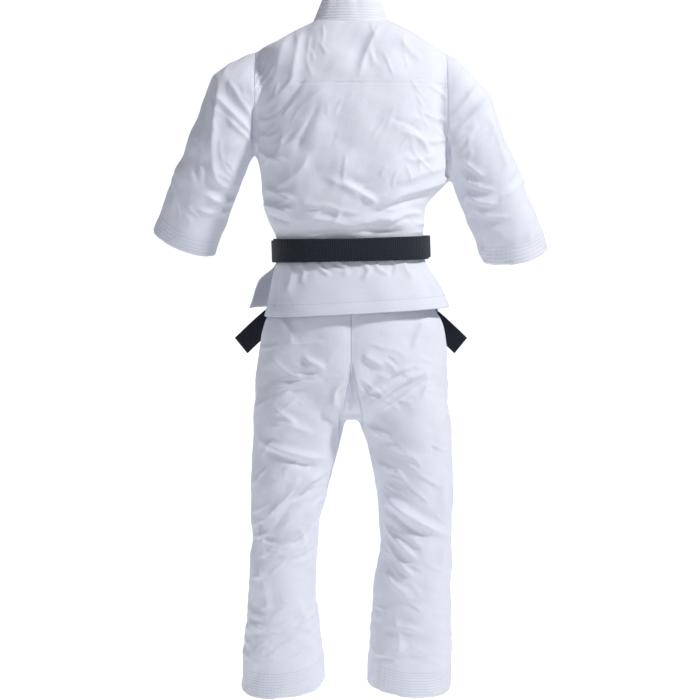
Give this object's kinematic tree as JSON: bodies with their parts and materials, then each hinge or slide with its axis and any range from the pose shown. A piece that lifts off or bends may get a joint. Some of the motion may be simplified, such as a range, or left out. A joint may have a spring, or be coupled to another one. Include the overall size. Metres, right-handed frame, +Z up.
{
  "type": "martial arts uniform",
  "caption": "White karate uniform, shaped as worn: a wrap-over jacket, drawstring trousers and a black belt tied with a square knot.",
  "frame": {"origin": "centre of the wearer's waist, at the height of the middle of the belt and midway from front to back", "axes": "+Z up towards the collar, -Y towards the wearer's front, +X towards the wearer's left"},
  "size_m": [0.8244, 0.2867, 1.4232],
  "materials": {
    "canvas": "matte",
    "canvas_band": "matte",
    "belt_cotton": "matte",
    "cord": "matte"
  },
  "bodies": {
    "jacket": {"jacket_back": "canvas", "jacket_left_front": "canvas", "jacket_right_front": "canvas", "shoulder_yoke": "canvas", "collar_stand": "canvas_band", "left_lapel_band": "canvas_band", "right_lapel_band": "canvas_band", "belt_inner_wrap": "belt_cotton", "belt_outer_wrap": "belt_cotton", "belt_knot": "belt_cotton"},
    "left_sleeve": {"left_sleeve_cloth": "canvas", "left_cuff_facing": "canvas_band"},
    "right_sleeve": {"right_sleeve_cloth": "canvas", "right_cuff_facing": "canvas_band"},
    "back_skirt": {"back_skirt_cloth": "canvas", "back_skirt_hem": "canvas_band"},
    "front_skirt": {"left_front_skirt": "canvas", "right_front_skirt": "canvas", "left_skirt_band": "canvas_band", "right_skirt_band": "canvas_band"},
    "left_tail": {"belt_tail_left": "belt_cotton"},
    "right_tail": {"belt_tail_right": "belt_cotton"},
    "trousers": {"trouser_seat": "canvas", "crotch_gusset": "canvas", "waistband": "canvas_band", "waistband_facing": "canvas_band", "drawstring": "cord"},
    "left_leg": {"trouser_left_leg": "canvas", "trouser_left_hem": "canvas_band"},
    "right_leg": {"trouser_right_leg": "canvas", "trouser_right_hem": "canvas_band"}
  },
  "joints": [
    {"name": "left_sleeve_raise", "type": "hinge", "parent": "jacket", "child": "left_sleeve", "pos_m": [0.195, 0, 0.408], "axis": [0, -1, 0], "range_deg": [0, 60]},
    {"name": "right_sleeve_raise", "type": "hinge", "parent": "jacket", "child": "right_sleeve", "pos_m": [-0.195, 0, 0.408], "axis": [0, 1, 0], "range_deg": [0, 60]},
    {"name": "back_skirt_lift", "type": "hinge", "parent": "jacket", "child": "back_skirt", "pos_m": [0, 0.112, -0.0325], "axis": [1, 0, 0], "range_deg": [0, 15]},
    {"name": "front_skirt_lift", "type": "hinge", "parent": "jacket", "child": "front_skirt", "pos_m": [0, -0.112, -0.0325], "axis": [-1, 0, 0], "range_deg": [0, 15]},
    {"name": "left_tail_swing", "type": "hinge", "parent": "front_skirt", "child": "left_tail", "pos_m": [0.02, -0.134, -0.03], "axis": [-1, 0, 0], "range_deg": [0, 60]},
    {"name": "right_tail_swing", "type": "hinge", "parent": "front_skirt", "child": "right_tail", "pos_m": [-0.02, -0.134, -0.03], "axis": [-1, 0, 0], "range_deg": [0, 60]},
    {"name": "trousers_drop", "type": "slide", "parent": "jacket", "child": "trousers", "axis": [0, 0, -1], "range_m": [0, 0.42]},
    {"name": "left_leg_swing", "type": "hinge", "parent": "trousers", "child": "left_leg", "pos_m": [0.1, 0, -0.25], "axis": [-1, 0, 0], "range_deg": [-15, 50]},
    {"name": "right_leg_swing", "type": "hinge", "parent": "trousers", "child": "right_leg", "pos_m": [-0.1, 0, -0.25], "axis": [-1, 0, 0], "range_deg": [-15, 50]}
  ]
}
